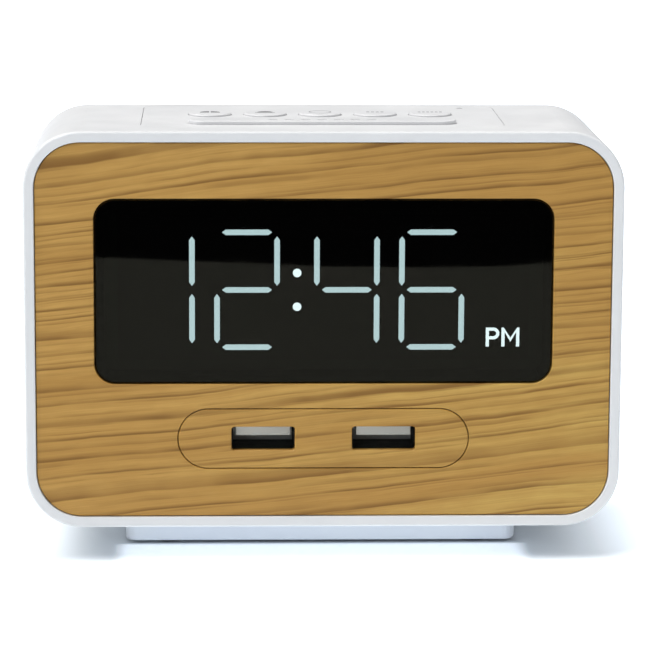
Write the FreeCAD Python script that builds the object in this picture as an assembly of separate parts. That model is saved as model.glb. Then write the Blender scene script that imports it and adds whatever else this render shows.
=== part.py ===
import FreeCAD
import Part

import math
import os

# A bedside clock radio: a white moulded sleeve with a wood front, a smoked window over four
# LED digits, two USB-A charging sockets in an oval plate, a long snooze bar and five round
# buttons on top, a speaker and a DC inlet at the back, and a low foot with the backup cell.
# Millimetres. +X is right as seen from the front, the front faces -Y, +Z is up.
# The origin is the centre of the footprint, on the surface the clock stands on.

# Driving dimensions
WIDTH = 122.0  # sleeve, side to side
HEIGHT = 81.8  # sleeve, without the foot
SLEEVE_DEPTH = 50.0
BULGE_DEPTH = 6.0  # how far the rear cover stands out behind the sleeve
CORNER = 11.6  # outer corner radius of the sleeve
WALL = 2.2
FOOT_HEIGHT = 7.2  # floor to sleeve
PAD_STANDOFF = 0.6  # floor to foot
PANEL_RECESS = 0.4  # wood face behind the sleeve's front edge
PANEL = 2.0  # thickness of the wood front, and of its carrier
BOARD = 1.6  # every circuit board
FIT = 0.15  # gap between panels that fit into each other
SCREW_R = 1.2
PILOT_R = 1.25
CROSS_SLOT = 0.7  # width and depth of the cross slot in a screw head

# Levels that follow from them
Y_FRONT = -(SLEEVE_DEPTH + BULGE_DEPTH) / 2
Y_SLEEVE_END = Y_FRONT + SLEEVE_DEPTH
Y_BACK = Y_SLEEVE_END + BULGE_DEPTH
Z_BOTTOM = FOOT_HEIGHT
Z_TOP = FOOT_HEIGHT + HEIGHT
Z_MID = (Z_BOTTOM + Z_TOP) / 2
Z_FLOOR = Z_BOTTOM + WALL  # inner floor of the sleeve
INNER_WIDTH = WIDTH - 2 * WALL
INNER_HEIGHT = HEIGHT - 2 * WALL
INNER_CORNER = CORNER - WALL
Y_PANEL = Y_FRONT + PANEL_RECESS
Y_CARRIER = Y_PANEL + PANEL
Y_LEDGE = Y_CARRIER + PANEL
LEDGE = 2.0  # ledge inside the sleeve that the carrier rests on

# Display
Z_WINDOW = Z_MID + 8.1
Z_DIGITS = Z_WINDOW
WINDOW_WIDTH = 93.6
WINDOW_HEIGHT = 38.2
WINDOW_CORNER = 4.3
WINDOW_RECESS = 0.25
WINDOW_FLANGE = 1.5  # how far the window's rear flange reaches past its opening
Y_WINDOW_BACK = Y_CARRIER + 1.2
Y_DISPLAY = Y_WINDOW_BACK + 0.2  # face of the LED block
Y_DISPLAY_BOARD = Y_DISPLAY + 7.0
Y_CONTROL_BOARD = Y_DISPLAY_BOARD + BOARD + 9.6
DISPLAY_WIDTH = 84.0
DISPLAY_HEIGHT = 29.0
LIGHT_WIDTH = 89.6  # opening in the carrier behind the window
LIGHT_HEIGHT = 33.0
DIFFUSER = 1.2
DIGIT_WIDTH = 12.25  # between the middles of a digit's upright segments
DIGIT_HALF = 11.88  # half the height between its top and bottom segments
SEGMENT = 1.15  # width of a segment's stroke
SEGMENT_LENGTH = 10.1
SEGMENT_POINT = 0.72  # length of a segment's pointed end
SEGMENT_TIP = 0.1  # width left at its very tip
DIGIT_CENTRES = (-33.0, -15.65, 4.72, 22.07)
DIGITS_SHOWN = ("bc", "abged", "fgbc", "afgedc")
DIGITS_FITTED = ("bc", "abcdefg", "abcdefg", "abcdefg")
COLON_X = -5.43
COLON_HALF = 3.5
COLON_R = 0.88
LEGEND_X = 33.28  # left edge of the small two-letter legend
LEGEND_HEIGHT = 3.95
LEGEND_STROKE = 0.66
LEGEND_PITCH = 3.22
Z_LEGEND = Z_DIGITS - DIGIT_HALF + 0.05
STACK_X = 47.5  # screws that hold the display board and the control board
STACK_HALF = 17.0
DISPLAY_BOARD_HALF = 19.0

# USB charging plate
Z_USB = Z_MID - 22.4
USB_X = 12.36
USB_PLATE_WIDTH = 59.8
USB_PLATE_HEIGHT = 12.6
USB_FLANGE = 2.0  # how far the plate's rear flange reaches past it
USB_CUT_WIDTH = 13.0
USB_CUT_HEIGHT = 4.9
USB_BEVEL = 0.2  # around each socket opening
USB_INNER_WIDTH = 12.5
USB_INNER_HEIGHT = 5.12
USB_SKIN = 0.3
USB_LENGTH = 14.0
USB_PLATE_SKIN = 1.6  # plate left in front of each socket
Y_USB = Y_PANEL + USB_PLATE_SKIN
TONGUE_WIDTH = 11.1
TONGUE_THICK = 1.84

# Power board
Z_POWER_TOP = Z_USB - USB_INNER_HEIGHT / 2 - USB_SKIN
Z_POWER = Z_POWER_TOP - BOARD
POWER_SCREWS = ((-44, -13), (44, -13), (-44, 12), (44, 12))
JACK_X = 36.0
JACK_RISE = 6.5  # barrel axis above the board
SLIDER_X = 14.9  # middle of the dimmer knob at rest
SLIDER_TRAVEL = 4.0

# Top: button panel, buttons, button board
TOP_PANEL_WIDTH = 74.6
TOP_PANEL_FRONT = Y_FRONT + 8.0
TOP_PANEL_BACK = Y_FRONT + 47.0
TOP_PANEL_RIM = 1.2
TOP_PANEL_PLUG = 1.4  # how far its middle hangs below the rim
TOP_PANEL_GAP = 0.1
TOP_LEDGE = 1.5
BUTTON_X = (-23.2, -11.6, 0.0, 11.6, 23.2)
BUTTON_NAMES = ("dimmer", "alarm", "radio", "hour", "minute")
Y_BUTTONS = Y_FRONT + 30.2
Y_SNOOZE = Y_FRONT + 15.0
BUTTON_R = 4.5
BUTTON_PROUD = 0.45
SNOOZE_WIDTH = 55.2
SNOOZE_DEPTH = 6.4
SNOOZE_PROUD = 0.8
SNOOZE_SWITCH_X = 14.0
Y_DASHES = Y_SNOOZE - 0.6
DASH_PITCH = 3.4  # row of shallow dashes moulded into the snooze bar
DASH_DEPTH = 0.15
KEY_GAP = 0.15
KEY_FLANGE = 0.9
Z_PLUG = Z_TOP - TOP_PANEL_RIM - TOP_PANEL_PLUG
Z_FLANGE_TOP = Z_PLUG - 0.1
Z_FLANGE = Z_FLANGE_TOP - 0.75
Z_PLUNGER_TOP = Z_FLANGE - 2.75
Z_SWITCH_TOP = Z_PLUNGER_TOP - 1.0
Z_BUTTON_BOARD_TOP = Z_SWITCH_TOP - 3.5
Z_BUTTON_BOARD = Z_BUTTON_BOARD_TOP - BOARD
BUTTON_POSTS = ((-32.5, -12.0), (32.5, -12.0), (-32.5, 8.0), (32.5, 8.0))

# Rear cover, speaker
Y_COVER = Y_SLEEVE_END - WALL
Y_RIM = Y_COVER - 2.0
BULGE_WIDTH = 98.0
BULGE_HEIGHT = 59.0
BULGE_CORNER = 10.0
BULGE_WALL = 2.0
Y_BULGE_INNER = Y_BACK - BULGE_WALL
BOSS_X = WIDTH / 2 - CORNER + 4.2
BOSS_Z = HEIGHT / 2 - CORNER + 4.2
SPEAKER_X = -25.0
SPEAKER_Z = Z_MID + 5.0
SPEAKER_R = 18.0
Y_SURROUND = Y_BULGE_INNER - 1.75  # seat of the cone's rolled surround

# Foot and backup cell
FOOT_WIDTH = 82.0
FOOT_FRONT = Y_FRONT + 15.0
FOOT_BACK = 21.0
FOOT_CORNER = 2.5
FOOT_WALL = 2.0
FOOT_SCREWS = ((-32, -7), (32, -7), (-32, 14), (32, 14))
PAD_R = 4.4
CELL_Y = 7.0
CELL_R = 10.0
DOOR_HALF = 14.0
DOOR_FRONT = -2.0
DOOR_TONGUE = 1.2
DOOR_GAP = 0.2


def vec(x, y, z):
    return FreeCAD.Vector(x, y, z)


def block(x0, x1, y0, y1, z0, z1):
    return Part.makeBox(x1 - x0, y1 - y0, z1 - z0, vec(x0, y0, z0))


def rod_y(x, z, radius, y0, y1):
    return Part.makeCylinder(radius, y1 - y0, vec(x, y0, z), vec(0, 1, 0))


def rod_z(x, y, radius, z0, z1):
    return Part.makeCylinder(radius, z1 - z0, vec(x, y, z0), vec(0, 0, 1))


def rod_x(y, z, radius, x0, x1):
    return Part.makeCylinder(radius, x1 - x0, vec(x0, y, z), vec(1, 0, 0))


def join(shapes):
    first, *rest = shapes
    return first.multiFuse(rest).removeSplitter() if rest else first


def cut(shape, tools):
    return shape.cut(Part.makeCompound(tools)) if tools else shape


def rounded_face(width, depth, radius):
    """A rectangle with round corners in the XY plane, centred on the origin."""
    across = width / 2 - radius
    along = depth / 2 - radius
    centres = ((across, along), (-across, along), (-across, -along), (across, -along))
    arcs = []
    for quarter, (x, y) in enumerate(centres):
        circle = Part.Circle(vec(x, y, 0), vec(0, 0, 1), radius)
        start = quarter * math.pi / 2
        arcs.append(Part.Arc(circle, start, start + math.pi / 2).toShape())
    edges = []
    for arc, following in zip(arcs, arcs[1:] + arcs[:1]):
        edges.append(arc)
        a = arc.Vertexes[-1].Point
        b = following.Vertexes[0].Point
        if a.distanceToPoint(b) > 1e-6:
            edges.append(Part.LineSegment(a, b).toShape())
    return Part.Face(Part.Wire(edges))


def slab_z(width, depth, radius, z0, z1, x=0.0, y=0.0):
    """A rounded rectangle seen from above, from z0 to z1."""
    solid = rounded_face(width, depth, radius).extrude(vec(0, 0, z1 - z0))
    solid.translate(vec(x, y, z0))
    return solid


def slab_y(width, height, radius, y0, y1, x=0.0, z=Z_MID):
    """A rounded rectangle seen from the front, from y0 to y1."""
    solid = rounded_face(width, height, radius).extrude(vec(0, 0, y1 - y0))
    solid.rotate(vec(0, 0, 0), vec(1, 0, 0), 90)
    solid.translate(vec(x, y1, z))
    return solid


def prism_y(points, y0, y1):
    """A polygon of (x, z) points, from y0 to y1."""
    corners = [vec(x, y0, z) for x, z in points]
    face = Part.Face(Part.makePolygon(corners + corners[:1]))
    return face.extrude(vec(0, y1 - y0, 0))


def edges_at_y(shape, y, inside=None):
    """Edges that lie in the plane at y, within the box half-sizes `inside` (x, z) if given."""
    found = []
    for edge in shape.Edges:
        box = edge.BoundBox
        if abs(box.YMin - y) > 1e-4 or abs(box.YMax - y) > 1e-4:
            continue
        if inside and max(abs(box.XMin), abs(box.XMax)) > inside[0]:
            continue
        if inside and max(abs(box.ZMin - Z_MID), abs(box.ZMax - Z_MID)) > inside[1]:
            continue
        found.append(edge)
    return found


def edges_at_z(shape, z):
    boxes = ((edge, edge.BoundBox) for edge in shape.Edges)
    return [edge for edge, box in boxes if abs(box.ZMin - z) < 1e-4 and abs(box.ZMax - z) < 1e-4]


def tube(points, radius):
    """A round lead along straight runs with tangent arcs, each as large as its runs allow."""
    points = [vec(*p) for p in points]
    edges = []
    start = points[0]
    for before, corner, after in zip(points, points[1:], points[2:]):
        back = before.sub(corner)
        on = after.sub(corner)
        reach = 0.45 * min(back.Length, on.Length)
        back.normalize()
        on.normalize()
        turn = math.pi - back.getAngle(on)
        bend = reach / math.tan(turn / 2)
        a = corner.add(back.multiply(reach))
        b = corner.add(on.multiply(reach))
        towards = a.add(b).multiply(0.5).sub(corner).normalize()
        middle = corner.add(towards.multiply(math.hypot(bend, reach) - bend))
        edges.append(Part.LineSegment(start, a).toShape())
        edges.append(Part.Arc(a, middle, b).toShape())
        start = b
    edges.append(Part.LineSegment(start, points[-1]).toShape())
    path = Part.Wire(edges)
    ring = Part.Wire(Part.makeCircle(radius, points[0], points[1].sub(points[0])))
    return path.makePipeShell([ring], True, False)


def screw_up(x, y, head_z, shank_top, head_r=2.7, head=1.6, shank_r=SCREW_R):
    """A pan-head screw with its head at head_z and its shank pointing up, with a cross slot."""
    screw = join([rod_z(x, y, head_r, head_z, head_z + head), rod_z(x, y, shank_r, head_z, shank_top)])
    arm = CROSS_SLOT / 2
    reach = head_r * 0.55
    deep = head_z + CROSS_SLOT
    slots = [
        block(x - reach, x + reach, y - arm, y + arm, head_z, deep),
        block(x - arm, x + arm, y - reach, y + reach, head_z, deep),
    ]
    return cut(screw, slots)


def screw_forward(x, z, head_back, shank_front, head_r=2.7, head=1.5, shank_r=SCREW_R):
    """A pan-head screw driven from behind: its head ends at head_back, its shank points to -Y."""
    shank = rod_y(x, z, shank_r, shank_front, head_back - head / 2)
    screw = join([rod_y(x, z, head_r, head_back - head, head_back), shank])
    arm = CROSS_SLOT / 2
    reach = head_r * 0.55
    deep = head_back - CROSS_SLOT
    slots = [
        block(x - reach, x + reach, deep, head_back, z - arm, z + arm),
        block(x - arm, x + arm, deep, head_back, z - reach, z + reach),
    ]
    return cut(screw, slots)


# ---------------------------------------------------------------- casing


def sleeve():
    """White outer casing: a rounded tube, open in front and behind, with its bosses."""
    body = slab_y(WIDTH, HEIGHT, CORNER, Y_FRONT, Y_SLEEVE_END)
    body = body.makeFillet(0.55, edges_at_y(body, Y_FRONT))
    body = body.makeFillet(0.9, edges_at_y(body, Y_SLEEVE_END))
    body = body.cut(slab_y(INNER_WIDTH, INNER_HEIGHT, INNER_CORNER, Y_FRONT, Y_SLEEVE_END))
    inner_lip = edges_at_y(body, Y_FRONT, (INNER_WIDTH / 2 + 0.01, INNER_HEIGHT / 2 + 0.01))
    body = body.makeFillet(0.25, inner_lip)
    ledge = slab_y(INNER_WIDTH + 0.2, INNER_HEIGHT + 0.2, INNER_CORNER, Y_LEDGE, Y_LEDGE + LEDGE)
    opening = slab_y(
        INNER_WIDTH - 2 * LEDGE, INNER_HEIGHT - 2 * LEDGE, INNER_CORNER - LEDGE, Y_LEDGE, Y_LEDGE + LEDGE
    )
    parts = [body, ledge.cut(opening)]
    holes = []
    for side in (-1, 1):
        for level in (-1, 1):
            x = side * BOSS_X
            z = Z_MID + level * BOSS_Z
            parts.append(rod_y(x, z, 3.75, 6.0, Y_RIM))
            holes.append(rod_y(x, z, PILOT_R, 8.0, Y_RIM))
    for x, y in POWER_SCREWS:
        parts.append(rod_z(x, y, 3.0, Z_FLOOR - 0.5, Z_POWER))
        holes.append(rod_z(x, y, PILOT_R, Z_FLOOR + 2, Z_POWER))
    for x, y in FOOT_SCREWS:
        parts.append(rod_z(x, y, 3.2, Z_FLOOR - 0.5, Z_FLOOR + 6.1))
        holes.append(rod_z(x, y, PILOT_R, Z_BOTTOM, Z_FLOOR + 5.1))
    for x, y in BATTERY_LEADS:
        holes.append(rod_z(x, y, 1.2, Z_BOTTOM, Z_FLOOR))
    middle = (TOP_PANEL_FRONT + TOP_PANEL_BACK) / 2
    depth = TOP_PANEL_BACK - TOP_PANEL_FRONT
    gap = 2 * TOP_PANEL_GAP
    holes.append(
        slab_z(TOP_PANEL_WIDTH + gap, depth + gap, 4.2, Z_TOP - TOP_PANEL_RIM, Z_TOP, 0, middle)
    )
    holes.append(
        slab_z(TOP_PANEL_WIDTH - 2 * TOP_LEDGE, depth - 2 * TOP_LEDGE, 2.7, Z_TOP - WALL, Z_TOP, 0, middle)
    )
    return cut(join(parts), holes)


def wood_front():
    """Wood front panel with the window and the oval USB opening."""
    panel = slab_y(
        INNER_WIDTH - 2 * FIT, INNER_HEIGHT - 2 * FIT, INNER_CORNER - FIT, Y_PANEL, Y_CARRIER
    )
    panel = cut(
        panel,
        [
            slab_y(WINDOW_WIDTH, WINDOW_HEIGHT, WINDOW_CORNER, Y_PANEL, Y_CARRIER, 0, Z_WINDOW),
            slab_y(
                USB_PLATE_WIDTH, USB_PLATE_HEIGHT, USB_PLATE_HEIGHT / 2, Y_PANEL, Y_CARRIER, 0, Z_USB
            ),
        ],
    )
    return panel.makeFillet(0.22, edges_at_y(panel, Y_PANEL))


def front_carrier():
    """Black moulded plate behind the wood: it carries the window, the USB plate and the boards."""
    plate = slab_y(
        INNER_WIDTH - 2 * FIT, INNER_HEIGHT - 2 * FIT, INNER_CORNER - FIT, Y_CARRIER, Y_LEDGE
    )
    flange = 2 * WINDOW_FLANGE + 2 * FIT
    posts = []
    pilots = []
    for x in (-STACK_X, STACK_X):
        for z in (Z_DIGITS - STACK_HALF, Z_DIGITS + STACK_HALF):
            posts.append(rod_y(x, z, 2.4, Y_LEDGE - 0.3, Y_DISPLAY_BOARD))
            pilots.append(rod_y(x, z, PILOT_R, Y_LEDGE + 1, Y_DISPLAY_BOARD))
    openings = [
        slab_y(
            WINDOW_WIDTH + flange, WINDOW_HEIGHT + flange, WINDOW_CORNER + 0.5,
            Y_CARRIER, Y_WINDOW_BACK, 0, Z_WINDOW
        ),
        slab_y(LIGHT_WIDTH, LIGHT_HEIGHT, 2.0, Y_CARRIER, Y_LEDGE, 0, Z_DIGITS),
        slab_y(USB_PLATE_WIDTH, USB_PLATE_HEIGHT, USB_PLATE_HEIGHT / 2, Y_CARRIER, Y_LEDGE, 0, Z_USB),
    ]
    return cut(join([cut(plate, openings), *posts]), pilots)


def display_window():
    """Smoked acrylic window with a flange that the wood front holds in the carrier."""
    face_y = Y_PANEL + WINDOW_RECESS
    pane = slab_y(
        WINDOW_WIDTH - 2 * FIT, WINDOW_HEIGHT - 2 * FIT, WINDOW_CORNER - FIT,
        face_y, Y_WINDOW_BACK, 0, Z_WINDOW
    )
    pane = pane.makeChamfer(0.3, edges_at_y(pane, face_y))
    flange = slab_y(
        WINDOW_WIDTH + 2 * WINDOW_FLANGE, WINDOW_HEIGHT + 2 * WINDOW_FLANGE, WINDOW_CORNER,
        Y_CARRIER, Y_WINDOW_BACK, 0, Z_WINDOW
    )
    return join([pane, flange])


def usb_plate():
    """Oval wood-faced plate with two socket openings, flanged behind the carrier."""
    plate = slab_y(
        USB_PLATE_WIDTH - 2 * FIT, USB_PLATE_HEIGHT - 2 * FIT, USB_PLATE_HEIGHT / 2 - FIT,
        Y_PANEL, Y_LEDGE + 1.5, 0, Z_USB
    )
    plate = plate.makeFillet(0.3, edges_at_y(plate, Y_PANEL))
    wide = USB_PLATE_WIDTH + 2 * USB_FLANGE
    tall = USB_PLATE_HEIGHT + 2 * USB_FLANGE
    flange = slab_y(wide, tall, tall / 2, Y_LEDGE, Y_LEDGE + 1.5, 0, Z_USB)
    openings = []
    pocket_width = USB_INNER_WIDTH + 2 * USB_SKIN + 0.6
    pocket_height = USB_INNER_HEIGHT + 2 * USB_SKIN + 0.6
    for x in (-USB_X, USB_X):
        openings.append(slab_y(USB_CUT_WIDTH, USB_CUT_HEIGHT, 0.6, Y_PANEL, Y_USB, x, Z_USB))
        openings.append(slab_y(pocket_width, pocket_height, 0.5, Y_USB, Y_LEDGE + 1.5, x, Z_USB))
    plate = cut(join([plate, flange]), openings)
    middles = ((edge, edge.BoundBox.Center) for edge in edges_at_y(plate, Y_PANEL))
    rims = [
        edge
        for edge, middle in middles
        if abs(middle.z - Z_USB) < USB_CUT_HEIGHT / 2 + FIT
        and abs(abs(middle.x) - USB_X) < USB_CUT_WIDTH / 2 + FIT
    ]
    return plate.makeChamfer(USB_BEVEL, rims)


def top_panel():
    """Inlay in the sleeve's top with the key openings and four posts for the button board."""
    middle = (TOP_PANEL_FRONT + TOP_PANEL_BACK) / 2
    depth = TOP_PANEL_BACK - TOP_PANEL_FRONT
    rim = slab_z(TOP_PANEL_WIDTH, depth, 4.0, Z_TOP - TOP_PANEL_RIM, Z_TOP, 0, middle)
    rim = rim.makeFillet(0.1, edges_at_z(rim, Z_TOP))
    inset = 2 * TOP_LEDGE + 2 * TOP_PANEL_GAP
    plug = slab_z(
        TOP_PANEL_WIDTH - inset, depth - inset, 2.5, Z_PLUG, Z_TOP - TOP_PANEL_RIM, 0, middle
    )
    posts = [rod_z(x, y, 2.5, Z_BUTTON_BOARD_TOP, Z_PLUG + 0.3) for x, y in BUTTON_POSTS]
    holes = [rod_z(x, y, 1.05, Z_BUTTON_BOARD_TOP, Z_PLUG - 1) for x, y in BUTTON_POSTS]
    holes += [rod_z(x, Y_BUTTONS, BUTTON_R + KEY_GAP, Z_PLUG, Z_TOP) for x in BUTTON_X]
    snooze_depth = SNOOZE_DEPTH + 2 * KEY_GAP
    holes.append(
        slab_z(SNOOZE_WIDTH + 2 * KEY_GAP, snooze_depth, snooze_depth / 2, Z_PLUG, Z_TOP, 0, Y_SNOOZE)
    )
    holes.append(rod_z(30.3, 14.5, 0.7, Z_TOP - 0.8, Z_TOP))
    return cut(join([rim, plug, *posts]), holes)


def rear_cover():
    """Back of the case: a flange inside the sleeve and a shallow bulge with the openings."""
    outline = (INNER_WIDTH - 2 * FIT, INNER_HEIGHT - 2 * FIT, INNER_CORNER - FIT)
    plate = slab_y(*outline, Y_COVER, Y_SLEEVE_END)
    rim = slab_y(*outline, Y_RIM, Y_COVER)
    rim = rim.cut(slab_y(outline[0] - 3.6, outline[1] - 3.6, outline[2] - 1.8, Y_RIM, Y_COVER))
    bulge = slab_y(BULGE_WIDTH, BULGE_HEIGHT, BULGE_CORNER, Y_COVER, Y_BACK)
    bulge = bulge.makeFillet(2.5, edges_at_y(bulge, Y_BACK))
    pads = []
    holes = [
        slab_y(
            BULGE_WIDTH - 2 * BULGE_WALL, BULGE_HEIGHT - 2 * BULGE_WALL, BULGE_CORNER - BULGE_WALL,
            Y_RIM, Y_BULGE_INNER
        )
    ]
    whole = slab_y(*outline, Y_RIM, Y_SLEEVE_END)
    for side in (-1, 1):
        for level in (-1, 1):
            x = side * BOSS_X
            z = Z_MID + level * BOSS_Z
            pads.append(rod_y(x, z, 4.6, Y_RIM, Y_COVER + 0.5).common(whole))
            holes.append(rod_y(x, z, 1.6, Y_RIM, Y_SLEEVE_END))
            holes.append(rod_y(x, z, 3.0, Y_SLEEVE_END - 1.6, Y_SLEEVE_END))
    body = cut(join([plate, rim, bulge, *pads]), holes)
    bosses = []
    openings = []
    for x, z in speaker_screw_places():
        bosses.append(rod_y(x, z, 2.3, Y_BULGE_INNER - 1.4, Y_BULGE_INNER + 0.3))
        openings.append(rod_y(x, z, 1.05, Y_BULGE_INNER - 1.4, Y_BACK - 0.7))
    for row in range(-4, 5):
        half = math.sqrt(15.5**2 - (row * 3.4) ** 2)
        openings.append(
            slab_y(
                2 * half, 1.7, 0.849, Y_BULGE_INNER, Y_BACK, SPEAKER_X, SPEAKER_Z + row * 3.4
            )
        )
    openings.append(rod_y(JACK_X, Z_POWER_TOP + JACK_RISE, 4.6, Y_BULGE_INNER, Y_BACK))
    slider_middle = SLIDER_X + SLIDER_TRAVEL / 2
    slider_z = Z_POWER_TOP + 2.1
    openings.append(slab_y(8.4, 3.6, 0.6, Y_BULGE_INNER, Y_BACK, slider_middle, slider_z))
    openings.append(slab_y(13.0, 7.6, 2.0, Y_BACK - 0.9, Y_BACK, slider_middle, slider_z + 0.6))
    return cut(join([body, *bosses]), openings)


def speaker_screw_places():
    places = []
    for degrees in (30, 150, 270):
        angle = math.radians(degrees)
        reach = SPEAKER_R + 2.6
        places.append((SPEAKER_X + reach * math.cos(angle), SPEAKER_Z + reach * math.sin(angle)))
    return places


# ---------------------------------------------------------------- foot and backup cell

BATTERY_LEADS = ((0.0, 15.0), (11.2, CELL_Y))


def base_foot():
    """Low hollow foot under the sleeve; its floor holds the sliding battery door."""
    middle = (FOOT_FRONT + FOOT_BACK) / 2
    depth = FOOT_BACK - FOOT_FRONT
    foot = slab_z(FOOT_WIDTH, depth, FOOT_CORNER, PAD_STANDOFF, Z_BOTTOM, 0, middle)
    foot = foot.makeFillet(0.6, edges_at_z(foot, PAD_STANDOFF))
    inner = 2 * FOOT_WALL
    floor = PAD_STANDOFF + 2.0
    foot = foot.cut(
        slab_z(FOOT_WIDTH - inner, depth - inner, FOOT_CORNER - FOOT_WALL, floor, Z_BOTTOM, 0, middle)
    )
    bosses = [rod_z(x, y, 4.2, floor - 0.3, Z_BOTTOM) for x, y in FOOT_SCREWS]
    opening = DOOR_HALF + DOOR_GAP
    holes = [
        block(-opening, opening, DOOR_FRONT - DOOR_GAP, FOOT_BACK - FOOT_WALL, PAD_STANDOFF, floor),
        block(
            -opening - DOOR_TONGUE, opening + DOOR_TONGUE,
            DOOR_FRONT - DOOR_GAP, FOOT_BACK, PAD_STANDOFF + 0.7, PAD_STANDOFF + 1.6
        ),
        block(-opening, opening, DOOR_FRONT, FOOT_BACK, PAD_STANDOFF, PAD_STANDOFF + 1.6),
    ]
    for x, y in FOOT_SCREWS:
        holes.append(rod_z(x, y, PAD_R + 0.1, PAD_STANDOFF, PAD_STANDOFF + 1.0))
        holes.append(rod_z(x, y, 3.0, PAD_STANDOFF + 1.0, 4.4))
        holes.append(rod_z(x, y, 1.6, 4.4, Z_BOTTOM))
    return cut(join([foot, *bosses]), holes)


def battery_door():
    """Sliding door in the foot's floor, with side tongues and finger ridges."""
    low = PAD_STANDOFF + 0.1
    high = PAD_STANDOFF + 1.5
    end = FOOT_BACK - DOOR_GAP
    door = join(
        [
            block(-DOOR_HALF, DOOR_HALF, DOOR_FRONT, end, low, high),
            block(
                -DOOR_HALF - DOOR_TONGUE, DOOR_HALF + DOOR_TONGUE, DOOR_FRONT, end - 3, low + 0.7, high
            ),
        ]
    )
    grooves = [slab_z(16, 0.8, 0.39, low, low + 0.4, 0, 13 + 1.7 * row) for row in range(4)]
    return cut(door, grooves)


def battery_holder():
    """Tray on the foot's floor that locates the coin cell."""
    floor = PAD_STANDOFF + 2.0
    tray = slab_z(34.0, 23.6, 1.5, floor, Z_BOTTOM - 0.2, 0, CELL_Y - 0.2)
    return cut(
        tray,
        [
            rod_z(0, CELL_Y, CELL_R + 0.3, floor, Z_BOTTOM - 0.2),
            block(-2.2, 2.2, CELL_Y, 18.6, Z_BOTTOM - 0.6, Z_BOTTOM - 0.2),
            block(CELL_R - 0.2, CELL_R + 2.2, CELL_Y - 3.2, CELL_Y + 3.2, floor + 0.4, Z_BOTTOM - 0.2),
        ],
    )


def backup_cell():
    """Coin cell, 20 mm across and 3.2 mm thick, with its smaller cap on top."""
    base = Z_BOTTOM - 3.8
    can = rod_z(0, CELL_Y, CELL_R, base, base + 2.9)
    can = can.makeFillet(0.4, edges_at_z(can, base))
    return join([can, rod_z(0, CELL_Y, CELL_R - 1.2, base + 2.9, base + 3.15)])


def battery_contacts():
    """Two plated strips: one on top of the cell, one against its rim."""
    top = block(-2.0, 2.0, CELL_Y - 3, 17.6, Z_BOTTOM - 0.6, Z_BOTTOM - 0.3)
    side = block(CELL_R + 0.6, CELL_R + 1.6, CELL_Y - 3, CELL_Y + 3, PAD_STANDOFF + 2.5, Z_BOTTOM - 0.3)
    return Part.makeCompound([top, side])


def battery_leads():
    return Part.makeCompound([rod_z(x, y, 0.6, Z_BOTTOM - 0.3, Z_POWER) for x, y in BATTERY_LEADS])


def rubber_feet():
    pads = []
    for x, y in FOOT_SCREWS:
        pad = rod_z(x, y, PAD_R, 0, PAD_STANDOFF + 1.0)
        pads.append(pad.makeFillet(0.25, edges_at_z(pad, 0)))
    return Part.makeCompound(pads)


# ---------------------------------------------------------------- display


def bar(x, z, upright):
    """Outline of one segment: a straight stroke with pointed ends."""
    half = SEGMENT_LENGTH / 2
    thick = SEGMENT / 2
    tip = SEGMENT_TIP / 2
    shoulder = half - SEGMENT_POINT
    points = [
        (-half, -tip), (-shoulder, -thick), (shoulder, -thick), (half, -tip),
        (half, tip), (shoulder, thick), (-shoulder, thick), (-half, tip),
    ]
    if upright:
        points = [(b, a) for a, b in points]
    return [(x + a, z + b) for a, b in points]


def segment_outlines(shown):
    """Outlines of the named segments of each digit, a to g clockwise from the top."""
    half = DIGIT_WIDTH / 2
    quarter = DIGIT_HALF / 2
    places = {
        "a": (0, DIGIT_HALF, False), "b": (half, quarter, True), "c": (half, -quarter, True),
        "d": (0, -DIGIT_HALF, False), "e": (-half, -quarter, True), "f": (-half, quarter, True),
        "g": (0, 0, False),
    }
    outlines = []
    for centre, letters in zip(DIGIT_CENTRES, shown):
        for letter in letters:
            dx, dz, upright = places[letter]
            outlines.append(bar(centre + dx, Z_DIGITS + dz, upright))
    return outlines


def legend(y0, y1):
    """Two small block letters, P and M, beside the digits."""
    x = LEGEND_X
    z = Z_LEGEND
    tall = LEGEND_HEIGHT
    stroke = LEGEND_STROKE
    bowl = tall * 0.31
    bowl_x = x + 1.57
    bowl_z = z + tall - bowl
    stem = block(x, x + stroke, y0, y1, z, z + tall)
    ring = rod_y(bowl_x, bowl_z, bowl, y0, y1).cut(rod_y(bowl_x, bowl_z, bowl - stroke, y0, y1))
    right_half = block(bowl_x, bowl_x + bowl, y0, y1, bowl_z - bowl, bowl_z + bowl)
    arms = [
        block(x, bowl_x, y0, y1, bowl_z + bowl - stroke, bowl_z + bowl),
        block(x, bowl_x, y0, y1, bowl_z - bowl, bowl_z - bowl + stroke),
    ]
    letter_p = join([stem, ring.common(right_half), *arms])
    left = x + LEGEND_PITCH
    right = left + 3.68
    centre = (left + right) / 2
    valley = z + tall * 0.25
    slope = stroke * 0.62
    letter_m = prism_y(
        [
            (left, z), (left + stroke, z), (left + stroke, z + tall - 2.3 * slope),
            (centre, valley), (right - stroke, z + tall - 2.3 * slope), (right - stroke, z),
            (right, z), (right, z + tall), (right - slope * 1.1, z + tall),
            (centre, valley + 2.1 * slope), (left + slope * 1.1, z + tall), (left, z + tall),
        ],
        y0, y1,
    )
    return [letter_p, letter_m]


def colon(y0, y1):
    return [rod_y(COLON_X, Z_DIGITS + side * COLON_HALF, COLON_R, y0, y1) for side in (-1, 1)]


def unlit_letters():
    pairs = zip(DIGITS_FITTED, DIGITS_SHOWN)
    return ["".join(letter for letter in fitted if letter not in shown) for fitted, shown in pairs]


def segments(shown):
    """Diffusers that fill the front of the light tunnels."""
    outlines = segment_outlines(shown)
    return Part.makeCompound([prism_y(points, Y_DISPLAY, Y_DISPLAY + DIFFUSER) for points in outlines])


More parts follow.
